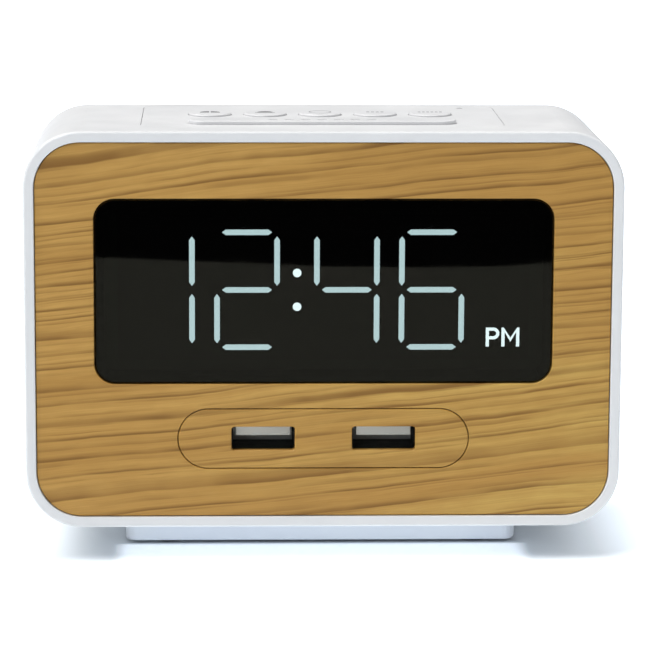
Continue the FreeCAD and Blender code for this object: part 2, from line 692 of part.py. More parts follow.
def display_housing():
    """Black-faced block with one light tunnel for each segment, dot and letter."""
    low = Z_DIGITS - DISPLAY_HEIGHT / 2
    high = Z_DIGITS + DISPLAY_HEIGHT / 2
    body = block(-DISPLAY_WIDTH / 2, DISPLAY_WIDTH / 2, Y_DISPLAY, Y_DISPLAY_BOARD, low, high)
    tunnels = [prism_y(points, Y_DISPLAY, Y_DISPLAY_BOARD) for points in segment_outlines(DIGITS_FITTED)]
    tunnels += colon(Y_DISPLAY, Y_DISPLAY_BOARD) + legend(Y_DISPLAY, Y_DISPLAY + DIFFUSER)
    stem = LEGEND_X + LEGEND_STROKE / 2
    for x in (stem, stem + LEGEND_PITCH):
        tunnels.append(rod_y(x, Z_LEGEND + 1, 0.25, Y_DISPLAY + DIFFUSER, Y_DISPLAY_BOARD))
    return cut(body, tunnels)


def led_chips():
    """One small LED on the display board in the middle of each light tunnel."""
    places = []
    for points in segment_outlines(DIGITS_FITTED):
        places.append((sum(x for x, _ in points) / 8, sum(z for _, z in points) / 8))
    places += [(COLON_X, Z_DIGITS + side * COLON_HALF) for side in (-1, 1)]
    half = 0.4
    chips = [
        block(x - half, x + half, Y_DISPLAY_BOARD - 0.5, Y_DISPLAY_BOARD, z - half, z + half)
        for x, z in places
    ]
    return Part.makeCompound(chips)


def stack_places():
    return [
        (x, z)
        for x in (-STACK_X, STACK_X)
        for z in (Z_DIGITS - STACK_HALF, Z_DIGITS + STACK_HALF)
    ]


def stacked_board(y0, lower=0.0):
    """A board parallel to the front with a screw hole in each corner."""
    board = block(
        -50, 50, y0, y0 + BOARD, Z_DIGITS - DISPLAY_BOARD_HALF - lower, Z_DIGITS + DISPLAY_BOARD_HALF
    )
    return cut(board, [rod_y(x, z, 1.4, y0, y0 + BOARD) for x, z in stack_places()])


def board_standoffs():
    """Threaded pillars between the display board and the control board."""
    pillars = []
    start = Y_DISPLAY_BOARD + BOARD
    for x, z in stack_places():
        pillar = join([rod_y(x, z, 2.4, start, Y_CONTROL_BOARD), rod_y(x, z, SCREW_R, start - 6, start)])
        pillars.append(pillar.cut(rod_y(x, z, PILOT_R, Y_CONTROL_BOARD - 5, Y_CONTROL_BOARD)))
    return Part.makeCompound(pillars)


# ---------------------------------------------------------------- control and power boards


def chip_y(x, z, width, height, thick, legs):
    """A leaded chip on the back of the control board."""
    y0 = Y_CONTROL_BOARD + BOARD
    body = block(x - width / 2, x + width / 2, y0 + 0.1, y0 + thick, z - height / 2, z + height / 2)
    pitch = width / legs
    feet = []
    for leg in range(legs):
        centre = x - width / 2 + (leg + 0.5) * pitch
        for side in (-1, 1):
            near = z + side * (height / 2 - 0.2)
            far = z + side * (height / 2 + 0.9)
            low, high = min(near, far), max(near, far)
            feet.append(block(centre - 0.2, centre + 0.2, y0, y0 + 0.35, low, high))
    return join([body, *feet])


def control_chips():
    """Clock processor, FM tuner, audio amplifier and crystal."""
    y0 = Y_CONTROL_BOARD + BOARD
    crystal = slab_y(11.0, 4.6, 2.2, y0, y0 + 3.4, -14.0, Z_DIGITS + 8)
    return Part.makeCompound(
        [
            chip_y(-18.0, Z_DIGITS - 2, 12.0, 10.0, 1.7, 12),
            chip_y(30.0, Z_DIGITS + 6, 7.0, 5.0, 1.5, 8),
            chip_y(30.0, Z_DIGITS - 9, 5.0, 4.0, 1.5, 4),
            crystal,
        ]
    )


def control_capacitors():
    y0 = Y_CONTROL_BOARD + BOARD
    cans = []
    for x, z in ((18.0, Z_DIGITS - 8), (18.0, Z_DIGITS + 1), (40.0, Z_DIGITS - 6)):
        can = rod_y(x, z, 3.15, y0, y0 + 7.5)
        cans.append(can.makeFillet(0.5, edges_at_y(can, y0 + 7.5)))
    return Part.makeCompound(cans)


def power_board():
    """Horizontal board: USB sockets in front, inlet and dimmer switch behind."""
    tongue = block(8, 41, 17, Y_BULGE_INNER - 0.6, Z_POWER, Z_POWER_TOP)
    board = join([block(-50, 50, Y_USB + 4, 17.4, Z_POWER, Z_POWER_TOP), tongue])
    return cut(board, [rod_z(x, y, 1.4, Z_POWER, Z_POWER_TOP) for x, y in POWER_SCREWS])


def usb_shell(x):
    """Plated steel shell of a USB-A socket, open in front."""
    outer_width = USB_INNER_WIDTH + 2 * USB_SKIN
    outer_height = USB_INNER_HEIGHT + 2 * USB_SKIN
    end = Y_USB + USB_LENGTH
    outer = slab_y(outer_width, outer_height, 0.6, Y_USB, end, x, Z_USB)
    return outer.cut(slab_y(USB_INNER_WIDTH, USB_INNER_HEIGHT, 0.3, Y_USB, end - 0.4, x, Z_USB))


def usb_tongues():
    """Contact tongues in the upper half of each socket, with the block behind them."""
    solids = []
    end = Y_USB + USB_LENGTH - 0.4
    for x in (-USB_X, USB_X):
        low = Z_USB + 0.35
        half = TONGUE_WIDTH / 2
        blade = block(x - half, x + half, Y_USB + 0.25, end - 4.5, low, low + TONGUE_THICK)
        inner = USB_INNER_WIDTH / 2 - 0.12
        tall = USB_INNER_HEIGHT / 2 - 0.12
        root = block(x - inner, x + inner, end - 4.7, end, Z_USB - tall, Z_USB + tall)
        grooves = []
        for spot in (-3.5, -1.0, 1.0, 3.5):
            grooves.append(block(x + spot - 0.55, x + spot + 0.55, Y_USB + 1.2, end - 4.7, low, low + 0.3))
        solids.append(cut(join([blade, root]), grooves))
    return Part.makeCompound(solids)


def usb_contacts():
    """Four gold contact strips under each tongue."""
    solids = []
    for x in (-USB_X, USB_X):
        for spot in (-3.5, -1.0, 1.0, 3.5):
            top = Z_USB + 0.65
            end = Y_USB + USB_LENGTH - 5.2
            solids.append(block(x + spot - 0.5, x + spot + 0.5, Y_USB + 1.3, end, top - 0.22, top))
    return Part.makeCompound(solids)


def power_chips():
    """Two USB charge controllers and the supply regulator."""
    solids = []
    for x, y, width, depth in ((-12.4, -5.0, 5.0, 4.0), (12.4, -5.0, 5.0, 4.0), (30.0, -2.0, 7.0, 6.5)):
        parts = [
            block(
                x - width / 2, x + width / 2, y - depth / 2, y + depth / 2,
                Z_POWER_TOP, Z_POWER_TOP + 1.6
            )
        ]
        for leg in range(4):
            centre = x - width / 2 + (leg + 0.5) * width / 4
            parts.append(
                block(
                    centre - 0.2, centre + 0.2, y - depth / 2 - 0.9, y + depth / 2 + 0.9,
                    Z_POWER_TOP, Z_POWER_TOP + 0.3
                )
            )
        solids.append(join(parts))
    return Part.makeCompound(solids)


def power_capacitors():
    cans = []
    for x, y in ((-34.0, 2.0), (-24.5, 2.0), (22.0, 10.0)):
        can = rod_z(x, y, 4.0, Z_POWER_TOP, Z_POWER_TOP + 10.0)
        cans.append(can.makeFillet(0.6, edges_at_z(can, Z_POWER_TOP + 10.0)))
    return Part.makeCompound(cans)


def power_inductor():
    """Moulded coil of the step-down supply, with its round winding window."""
    x, y = 20.5, 0.5
    case = slab_z(9.6, 9.6, 1.6, Z_POWER_TOP, Z_POWER_TOP + 4.2, x, y)
    winding = rod_z(x, y, 4.0, Z_POWER_TOP + 3.6, Z_POWER_TOP + 4.2)
    return case.cut(winding.cut(rod_z(x, y, 2.4, Z_POWER_TOP + 3.6, Z_POWER_TOP + 4.2)))


def dc_jack():
    """Barrel inlet: a square block on the board with a collar that shows at the back."""
    axis_z = Z_POWER_TOP + JACK_RISE
    start = Y_BULGE_INNER - 14.2
    body = block(JACK_X - 4.5, JACK_X + 4.5, start, Y_BULGE_INNER - 0.1, Z_POWER_TOP, Z_POWER_TOP + 11.0)
    collar = rod_y(JACK_X, axis_z, 4.3, Y_BULGE_INNER - 0.3, Y_BACK - 0.6)
    return join([body, collar]).cut(rod_y(JACK_X, axis_z, 2.9, Y_BACK - 10.6, Y_BACK - 0.6))


def dc_jack_pin():
    axis_z = Z_POWER_TOP + JACK_RISE
    pin = rod_y(JACK_X, axis_z, 1.0, Y_BACK - 10.6, Y_BACK - 2.0)
    return pin.makeFillet(0.5, edges_at_y(pin, Y_BACK - 2.0))


def slide_switch():
    """Housing of the dimmer slide switch, with the channel its knob runs in."""
    middle = SLIDER_X + SLIDER_TRAVEL / 2
    body = block(
        middle - 5.6, middle + 5.6, Y_BULGE_INNER - 6.4, Y_BULGE_INNER - 0.2, Z_POWER_TOP, Z_POWER_TOP + 4.4
    )
    half = SLIDER_TRAVEL / 2 + 1.8
    channel = block(
        middle - half, middle + half, Y_BULGE_INNER - 2.2, Y_BULGE_INNER - 0.2,
        Z_POWER_TOP + 0.7, Z_POWER_TOP + 3.5
    )
    return body.cut(channel)


def dimmer_slider():
    """Small ridged knob of the slide switch."""
    knob = block(
        SLIDER_X - 1.5, SLIDER_X + 1.5, Y_BULGE_INNER - 2.0, Y_BACK - 0.2,
        Z_POWER_TOP + 0.9, Z_POWER_TOP + 3.3
    )
    ridges = []
    for row in (-0.9, 0.0, 0.9):
        ridges.append(
            block(
                SLIDER_X + row - 0.15, SLIDER_X + row + 0.15, Y_BACK - 0.5, Y_BACK - 0.2,
                Z_POWER_TOP + 0.9, Z_POWER_TOP + 3.3
            )
        )
    return cut(knob, ridges)


# ---------------------------------------------------------------- speaker


def cone_y(x, z, r0, r1, y0, y1):
    return Part.makeCone(r0, r1, y1 - y0, vec(x, y0, z), vec(0, 1, 0))


def speaker_basket():
    """Pressed steel frame: a flat rim, a tapered bowl with four windows, and its back plate."""
    x, z = SPEAKER_X, SPEAKER_Z
    rim_y = Y_BULGE_INNER - 1.4
    rim = rod_y(x, z, SPEAKER_R, rim_y, Y_BULGE_INNER).cut(rod_y(x, z, 16.2, rim_y, Y_BULGE_INNER))
    bowl = cone_y(x, z, 10.0, 17.2, rim_y - 7.0, rim_y + 0.6)
    bowl = bowl.cut(cone_y(x, z, 9.0, 16.2, rim_y - 7.0, rim_y + 0.6))
    windows = [
        block(x - 3.2, x + 3.2, rim_y - 6.0, rim_y - 1.6, z - 20, z + 20),
        block(x - 20, x + 20, rim_y - 6.0, rim_y - 1.6, z - 3.2, z + 3.2),
    ]
    plate = rod_y(x, z, 10.0, rim_y - 8.0, rim_y - 6.9)
    seat = rod_y(x, z, 15.95, Y_SURROUND, Y_BULGE_INNER)
    return join([rim, cut(bowl, windows), plate]).cut(seat)


def speaker_magnet():
    """Ring magnet with its steel end plate."""
    start = Y_BULGE_INNER - 1.4 - 8.0
    ring = rod_y(SPEAKER_X, SPEAKER_Z, 9.0, start - 4.6, start)
    plate = rod_y(SPEAKER_X, SPEAKER_Z, 8.4, start - 5.8, start - 4.6)
    return join([ring, plate])


def speaker_cone():
    """Paper cone with its rolled surround and dust cap."""
    x, z = SPEAKER_X, SPEAKER_Z
    front = Y_SURROUND + 0.9
    cone = cone_y(x, z, 4.6, 13.4, front - 5.4, front)
    cone = cone.cut(cone_y(x, z, 4.1, 12.9, front - 5.4, front))
    roll = Part.makeTorus(14.3, 1.25, vec(x, front - 0.5, z), vec(0, 1, 0))
    roll = roll.cut(rod_y(x, z, 17, front - 2.5, front - 0.5))
    hollow = Part.makeTorus(14.3, 0.85, vec(x, front - 0.5, z), vec(0, 1, 0))
    roll = roll.cut(hollow)
    edge = rod_y(x, z, 15.9, Y_SURROUND, front - 0.5).cut(rod_y(x, z, 13.0, Y_SURROUND, front - 0.5))
    cap = Part.makeSphere(6.0, vec(x, front - 7.4, z)).cut(Part.makeSphere(5.6, vec(x, front - 7.4, z)))
    cap = cap.common(rod_y(x, z, 5.2, front - 4.9, front + 2))
    return join([cone, edge, roll, cap])


def speaker_screws():
    """Washer-head screws that clamp the speaker's rim against the rear cover."""
    screws = []
    head_back = Y_BULGE_INNER - 1.4
    for x, z in speaker_screw_places():
        head = rod_y(x, z, 3.3, head_back - 1.2, head_back)
        shank = rod_y(x, z, 1.0, head_back - 0.3, Y_BACK - 1.0)
        slots = [
            block(x - 1.7, x + 1.7, head_back - 1.2, head_back - 0.6, z - 0.35, z + 0.35),
            block(x - 0.35, x + 0.35, head_back - 1.2, head_back - 0.6, z - 1.7, z + 1.7),
        ]
        screws.append(cut(join([head, shank]), slots))
    return Part.makeCompound(screws)


def speaker_leads():
    """Two leads from the rim of the speaker to the back of the control board."""
    leads = []
    rim_y = Y_BULGE_INNER - 1.4
    for degrees in (-36, -54):
        angle = math.radians(degrees)
        x = SPEAKER_X + 17.3 * math.cos(angle)
        z = SPEAKER_Z + 17.3 * math.sin(angle)
        points = [(x, rim_y, z), (x, 17.0, z), (x - 3, 6.0, z - 1), (x - 3, Y_CONTROL_BOARD + BOARD, z - 1)]
        leads.append(tube(points, 0.6))
    return Part.makeCompound(leads)


# ---------------------------------------------------------------- keys


def key_parts(cap, flange, stems):
    cap = cap.makeFillet(0.3, edges_at_z(cap, cap.BoundBox.ZMax))
    return join([cap, flange, *stems])


def round_button(x):
    cap = rod_z(x, Y_BUTTONS, BUTTON_R, Z_FLANGE, Z_TOP + BUTTON_PROUD)
    flange = rod_z(x, Y_BUTTONS, BUTTON_R + KEY_FLANGE, Z_FLANGE, Z_FLANGE_TOP)
    stem = rod_z(x, Y_BUTTONS, 1.6, Z_PLUNGER_TOP, Z_FLANGE)
    return key_parts(cap, flange, [stem])


def snooze_bar():
    cap = slab_z(
        SNOOZE_WIDTH, SNOOZE_DEPTH, SNOOZE_DEPTH / 2, Z_FLANGE, Z_TOP + SNOOZE_PROUD, 0, Y_SNOOZE
    )
    wide = 2 * KEY_FLANGE
    flange = slab_z(
        SNOOZE_WIDTH + wide, SNOOZE_DEPTH + wide, SNOOZE_DEPTH / 2 + KEY_FLANGE,
        Z_FLANGE, Z_FLANGE_TOP, 0, Y_SNOOZE
    )
    stems = [
        rod_z(side * SNOOZE_SWITCH_X, Y_SNOOZE, 1.6, Z_PLUNGER_TOP, Z_FLANGE) for side in (-1, 1)
    ]
    top = Z_TOP + SNOOZE_PROUD
    dashes = []
    for place in range(-3, 4):
        dashes.append(slab_z(2.1, 1.1, 0.54, top - DASH_DEPTH, top, place * DASH_PITCH, Y_DASHES))
    return cut(key_parts(cap, flange, stems), dashes)


def plunger(x, y):
    """Moving plunger of a switch, touching the key's stem."""
    return rod_z(x, y, 1.7, Z_SWITCH_TOP - 0.8, Z_PLUNGER_TOP)


def key_switches():
    """Housings of the seven key switches on the button board, each with its plunger well."""
    places = [(x, Y_BUTTONS) for x in BUTTON_X]
    places += [(side * SNOOZE_SWITCH_X, Y_SNOOZE) for side in (-1, 1)]
    solids = []
    for x, y in places:
        body = slab_z(6.0, 6.0, 0.4, Z_BUTTON_BOARD_TOP, Z_SWITCH_TOP, x, y)
        solids.append(body.cut(rod_z(x, y, 1.8, Z_SWITCH_TOP - 1.6, Z_SWITCH_TOP)))
    return Part.makeCompound(solids)


def button_board():
    board = slab_z(70.6, 28.0, 1.5, Z_BUTTON_BOARD, Z_BUTTON_BOARD_TOP, 0, -3.0)
    holes = [rod_z(x, y, 1.3, Z_BUTTON_BOARD, Z_BUTTON_BOARD_TOP) for x, y in BUTTON_POSTS]
    return cut(board, holes)


# ---------------------------------------------------------------- ribbons and screws

RIBBON_HALF = 7.0
RIBBON = 0.3
Y_RIBBON = Y_CONTROL_BOARD + BOARD + 1.4
Z_UPPER_PORT = Z_DIGITS + 11.5
Z_LOWER_PORT = Z_DIGITS - 16.0
BUTTON_PORT = (2.0, 5.0)
Z_BUTTON_RIBBON = Z_BUTTON_BOARD - 2.0


def ribbon_ports():
    """Flat-cable connectors on the three boards."""
    back = Y_CONTROL_BOARD + BOARD
    half = RIBBON_HALF + 1.2
    return Part.makeCompound(
        [
            block(-half, half, back, back + 2.8, Z_UPPER_PORT - 4, Z_UPPER_PORT),
            block(-half, half, back, back + 2.8, Z_LOWER_PORT, Z_LOWER_PORT + 4),
            block(-half, half, *BUTTON_PORT, Z_BUTTON_RIBBON - 1.2, Z_BUTTON_BOARD),
            block(-half, half, Y_RIBBON - 1.4, Y_RIBBON + 1.4, Z_POWER_TOP, Z_POWER_TOP + 4.0),
        ]
    )


def button_ribbon():
    """Flat cable that rises from the control board and turns under the button board."""
    bend = 2.0
    centre_y = Y_RIBBON + bend
    centre_z = Z_BUTTON_RIBBON - bend
    rise = block(
        -RIBBON_HALF, RIBBON_HALF, Y_RIBBON - RIBBON / 2, Y_RIBBON + RIBBON / 2, Z_UPPER_PORT, centre_z
    )
    turn = rod_x(centre_y, centre_z, bend + RIBBON / 2, -RIBBON_HALF, RIBBON_HALF)
    turn = turn.cut(rod_x(centre_y, centre_z, bend - RIBBON / 2, -RIBBON_HALF, RIBBON_HALF))
    quarter = block(
        -RIBBON_HALF, RIBBON_HALF, Y_RIBBON - 1, centre_y, centre_z, Z_BUTTON_RIBBON + 1
    )
    run = block(
        -RIBBON_HALF, RIBBON_HALF, centre_y, BUTTON_PORT[0],
        Z_BUTTON_RIBBON - RIBBON / 2, Z_BUTTON_RIBBON + RIBBON / 2
    )
    return join([rise, turn.common(quarter), run])


def power_ribbon():
    """Flat cable between the power board and the control board."""
    return block(
        -RIBBON_HALF, RIBBON_HALF, Y_RIBBON - RIBBON / 2, Y_RIBBON + RIBBON / 2,
        Z_POWER_TOP + 4.0, Z_LOWER_PORT
    )


def rear_screws():
    """Four case screws through the rear cover into the sleeve."""
    places = [(i * BOSS_X, Z_MID + k * BOSS_Z) for i in (-1, 1) for k in (-1, 1)]
    return Part.makeCompound([screw_forward(x, z, Y_SLEEVE_END - 0.1, 9.0) for x, z in places])


def foot_screws():
    """Four screws under the rubber pads that hold the foot to the sleeve."""
    return Part.makeCompound([screw_up(x, y, 2.8, Z_FLOOR + 4.1) for x, y in FOOT_SCREWS])


def board_screws():
    """Screws of the control, power and button boards."""
    screws = []
    for x, z in stack_places():
        screws.append(
            screw_forward(x, z, Y_CONTROL_BOARD + BOARD + 1.5, Y_CONTROL_BOARD - 4.0, head_r=2.3)
        )
    for x, y in POWER_SCREWS:
        down = screw_up(x, y, 0.0, 8.0, head_r=2.5)
        down.rotate(vec(x, y, 0), vec(1, 0, 0), 180)
        down.translate(vec(0, 0, Z_POWER_TOP + 1.6))
        screws.append(down)
    for x, y in BUTTON_POSTS:
        screws.append(
            screw_up(x, y, Z_BUTTON_BOARD - 1.4, Z_BUTTON_BOARD_TOP + 4.5, 2.2, 1.4, 1.0)
        )
    return Part.makeCompound(screws)


def all_nodes():
    nodes = {
        "sleeve": sleeve(),
        "wood_front": wood_front(),
        "front_carrier": front_carrier(),
        "display_window": display_window(),
        "usb_plate": usb_plate(),
        "top_panel": top_panel(),
        "rear_cover": rear_cover(),
        "base_foot": base_foot(),
        "rubber_feet": rubber_feet(),
        "battery_door": battery_door(),
        "battery_holder": battery_holder(),
        "backup_cell": backup_cell(),
        "battery_contacts": battery_contacts(),
        "battery_leads": battery_leads(),
        "display_housing": display_housing(),
        "segments_lit": segments(DIGITS_SHOWN),
        "segments_unlit": segments(unlit_letters()),
        "colon_dots": Part.makeCompound(colon(Y_DISPLAY, Y_DISPLAY + DIFFUSER)),
        "pm_legend": Part.makeCompound(legend(Y_DISPLAY, Y_DISPLAY + DIFFUSER)),
        "led_chips": led_chips(),
        "display_board": stacked_board(Y_DISPLAY_BOARD),
        "board_standoffs": board_standoffs(),
        "control_board": stacked_board(Y_CONTROL_BOARD),
        "control_chips": control_chips(),
        "control_capacitors": control_capacitors(),
        "power_board": power_board(),
        "power_chips": power_chips(),
        "power_capacitors": power_capacitors(),
        "power_inductor": power_inductor(),
        "usb_shells": Part.makeCompound([usb_shell(-USB_X), usb_shell(USB_X)]),
        "usb_tongues": usb_tongues(),
        "usb_contacts": usb_contacts(),
        "dc_jack": dc_jack(),
        "dc_jack_pin": dc_jack_pin(),
        "slide_switch": slide_switch(),
        "dimmer_slider": dimmer_slider(),
        "speaker_basket": speaker_basket(),
        "speaker_magnet": speaker_magnet(),
        "speaker_cone": speaker_cone(),
        "speaker_screws": speaker_screws(),
        "speaker_leads": speaker_leads(),
        "button_board": button_board(),
        "key_switches": key_switches(),
        "ribbon_ports": ribbon_ports(),
        "ribbon_cables": Part.makeCompound([button_ribbon(), power_ribbon()]),
        "rear_screws": rear_screws(),
        "foot_screws": foot_screws(),
        "board_screws": board_screws(),
        "snooze_bar": snooze_bar(),
        "snooze_plungers": Part.makeCompound(
            [plunger(side * SNOOZE_SWITCH_X, Y_SNOOZE) for side in (-1, 1)]
        ),
    }
    for name, x in zip(BUTTON_NAMES, BUTTON_X):
        nodes[f"{name}_button"] = round_button(x)
        nodes[f"{name}_plunger"] = plunger(x, Y_BUTTONS)
    return nodes


def main():
    os.makedirs("parts", exist_ok=True)
    for name, shape in all_nodes().items():
        if not shape.isValid() or not shape.Solids:
            print("problem in", name, "solids", len(shape.Solids), "valid", shape.isValid())
        shape.exportStep(f"parts/{name}.step")
        print(f"{name}: {len(shape.Solids)} solids, {shape.Volume:.1f} mm3")


main()
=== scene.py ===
import math

import bmesh
import bpy
from mathutils import Matrix, Vector


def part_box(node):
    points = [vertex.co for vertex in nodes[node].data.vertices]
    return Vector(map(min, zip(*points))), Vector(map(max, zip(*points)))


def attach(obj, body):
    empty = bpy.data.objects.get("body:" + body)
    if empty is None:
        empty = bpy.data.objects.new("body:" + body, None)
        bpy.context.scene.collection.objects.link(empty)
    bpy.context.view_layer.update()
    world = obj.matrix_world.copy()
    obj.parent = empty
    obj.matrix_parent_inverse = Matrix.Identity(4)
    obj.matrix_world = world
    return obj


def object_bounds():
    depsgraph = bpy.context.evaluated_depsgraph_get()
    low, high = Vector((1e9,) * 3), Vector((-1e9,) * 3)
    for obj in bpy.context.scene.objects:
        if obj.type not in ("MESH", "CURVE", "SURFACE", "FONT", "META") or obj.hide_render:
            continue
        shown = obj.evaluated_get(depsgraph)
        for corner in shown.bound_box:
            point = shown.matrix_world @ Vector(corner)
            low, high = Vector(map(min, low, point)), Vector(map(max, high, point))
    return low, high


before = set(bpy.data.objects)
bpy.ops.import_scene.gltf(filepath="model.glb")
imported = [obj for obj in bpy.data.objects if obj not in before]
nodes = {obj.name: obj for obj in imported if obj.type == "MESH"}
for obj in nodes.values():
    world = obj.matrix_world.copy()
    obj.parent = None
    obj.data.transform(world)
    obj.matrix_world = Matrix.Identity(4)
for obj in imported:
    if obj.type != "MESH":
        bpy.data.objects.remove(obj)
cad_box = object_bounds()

# A bedside clock radio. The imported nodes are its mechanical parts. This script gives each of
# them its material, adds the printed icons, and sets up the studio and the camera.
# Metres. The display faces -Y, and +Z is up.

MM = 0.001


# ---------------------------------------------------------------- materials


class Paint:
    """A Principled material whose colour, roughness and bump come from a few procedural nodes."""

    def __init__(self, name, **sockets):
        self.material = bpy.data.materials.new(name)
        self.material.use_nodes = True
        self.tree = self.material.node_tree
        self.shader = self.tree.nodes["Principled BSDF"]
        for socket, value in sockets.items():
            self.shader.inputs[socket.replace("_", " ")].default_value = value
        place = self.tree.nodes.new("ShaderNodeTexCoord").outputs["Object"]
        self.place = self.stretched(place, (1000, 1000, 1000))  # millimetres from here on

    def node(self, kind, *values, **settings):
        made = self.tree.nodes.new("ShaderNode" + kind)
        for setting, value in settings.items():
            setattr(made, setting, value)
        for socket, value in zip(made.inputs, values):
            self.put(socket, value)
        return made

    def put(self, socket, value):
        if isinstance(value, bpy.types.NodeSocket):
            self.tree.links.new(value, socket)
        elif value is not None:
            socket.default_value = value

    def set(self, **links):
        for socket, value in links.items():
            self.put(self.shader.inputs[socket.replace("_", " ")], value)
        return self

    def stretched(self, vector, factors):
        made = self.node("Mapping")
        self.put(made.inputs["Vector"], vector)
        made.inputs["Scale"].default_value = factors
        return made.outputs["Vector"]

    def noise(self, scale, detail=2.0, roughness=0.5, vector=None):
        made = self.node("TexNoise")
        self.put(made.inputs["Vector"], vector or self.place)
        made.inputs["Scale"].default_value = scale
        made.inputs["Detail"].default_value = detail
        made.inputs["Roughness"].default_value = roughness
        return made.outputs["Fac"]

    def streaks(self, factors, detail=2.0, vector=None):
        return self.noise(1.0, detail, vector=self.stretched(vector or self.place, factors))

    def math(self, operation, a, b=None, c=None):
        return self.node("Math", a, b, c, operation=operation).outputs[0]

    def fit(self, value, low, high, to_low=0.0, to_high=1.0):
        """value's range from low to high, mapped smoothly onto to_low to to_high."""
        made = self.node("MapRange", value, low, high, to_low, to_high)
        made.interpolation_type = "SMOOTHSTEP"
        return made.outputs["Result"]

    def mix(self, factor, a, b):
        made = self.node("Mix", data_type="RGBA")
        self.put(made.inputs["Factor"], factor)
        colours = [socket for socket in made.inputs if socket.type == "RGBA"]
        self.put(colours[0], a)
        self.put(colours[1], b)
        return [socket for socket in made.outputs if socket.type == "RGBA"][0]

    def bump(self, height, distance, strength):
        made = self.node("Bump")
        self.put(made.inputs["Height"], height)
        made.inputs["Distance"].default_value = distance
        made.inputs["Strength"].default_value = strength
        return made.outputs["Normal"]


def rgb(r, g, b):
    return (r, g, b, 1.0)


WOOD_LIGHT = (0.55, 0.315, 0.076)
WOOD_PALE = (0.58, 0.372, 0.089)
WOOD_DEEP = (0.47, 0.255, 0.055)
WOOD_FIBRE = (0.40, 0.205, 0.038)
WOOD_LINE = (0.205, 0.090, 0.010)
GRAIN_RISE = 0.115  # how much the grain rises to the right, per millimetre
LINES_PER_MM = 0.245
CLOSE_LOW, CLOSE_HIGH = 38.0, 78.0  # between these heights, in mm, the lines come closer together
CLOSE_EXTRA = 3.6  # and there are this many more of them


def moulded(name, colour, shade, rough=(0.34, 0.46), texture=6.0, depth=0.004):
    """Moulded plastic: faint flow mottling, fine spark texture, uneven gloss."""
    paint = Paint(name)
    mottle = paint.noise(0.05, 3)
    grain = paint.noise(texture, 3, 0.6)
    smudge = paint.noise(0.12, 4, 0.6)
    scuff = paint.fit(paint.noise(0.35, 6, 0.75), 0.56, 0.72, 0.0, 0.06)
    gloss = paint.math("ADD", paint.fit(smudge, 0.3, 0.7, *rough), scuff)
    return paint.set(
        Base_Color=paint.mix(paint.fit(mottle, 0.35, 0.65), rgb(*shade), rgb(*colour)),
        Roughness=gloss,
        Normal=paint.bump(grain, depth * MM, 0.6),
    ).material


def metal(name, colour, rough=(0.22, 0.4), brush=(0.3, 6.0, 6.0)):
    """Plated or brushed metal with fine drawn lines and dull patches."""
    paint = Paint(name, Metallic=1.0)
    lines = paint.streaks(brush, 4)
    dull = paint.noise(0.4, 4, 0.6)
    dark = tuple(channel * 0.8 for channel in colour)
    return paint.set(
        Base_Color=paint.mix(dull, rgb(*dark), rgb(*colour)),
        Roughness=paint.fit(paint.math("MULTIPLY_ADD", lines, 0.5, dull), 0.4, 1.1, *rough),
        Normal=paint.bump(lines, 0.003 * MM, 0.5),
    ).material


def growth_lines(paint, x, phase, start, weakest):
    """Lines that darken slowly over each turn of the phase and end sharply, and fade along x."""
    turn = paint.math("FRACT", phase)
    number = paint.math("FLOOR", phase)
    spot = paint.node("CombineXYZ", paint.math("MULTIPLY", x, 0.028), 0.0, number).outputs[0]
    presence = paint.fit(paint.noise(1.7, 2.0, 0.5, spot), 0.38, 0.60, weakest, 1.0)
    ramp = paint.math("POWER", paint.fit(turn, start, 0.92), 1.7)
    end = paint.fit(turn, 0.93, 0.99, 1.0, 0.0)
    return paint.math("MULTIPLY", paint.math("MULTIPLY", ramp, end), presence)


